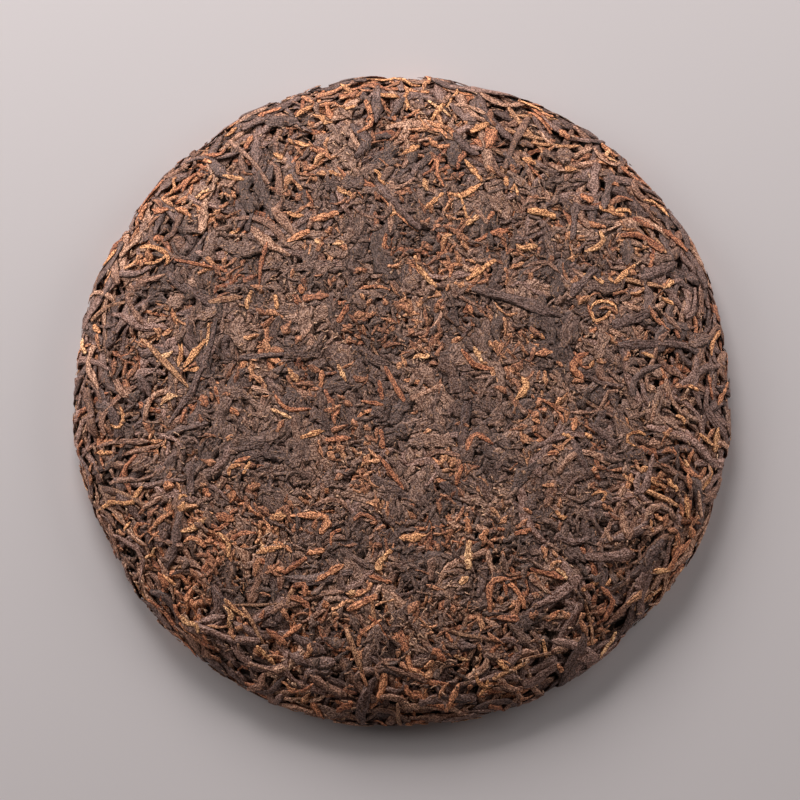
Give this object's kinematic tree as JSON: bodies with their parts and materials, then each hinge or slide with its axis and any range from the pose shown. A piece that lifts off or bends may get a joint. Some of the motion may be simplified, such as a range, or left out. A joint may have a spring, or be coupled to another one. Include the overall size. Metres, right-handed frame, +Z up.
{
  "type": "pu erh tea cake",
  "caption": "Round cake of pressed dark tea leaves with a gently domed face, rounded rim and dimpled flat back, lying on its back.",
  "frame": {"origin": "middle of the underside, on the surface that the cake lies on", "axes": "+Z up, out of the domed face that the picture shows; +Y towards the top of the picture; +X towards its right"},
  "size_m": [0.2003, 0.1998, 0.0225],
  "materials": {
    "pressed_tea": null
  },
  "bodies": {
    "root": {"tea_cake": "pressed_tea"}
  },
  "joints": []
}
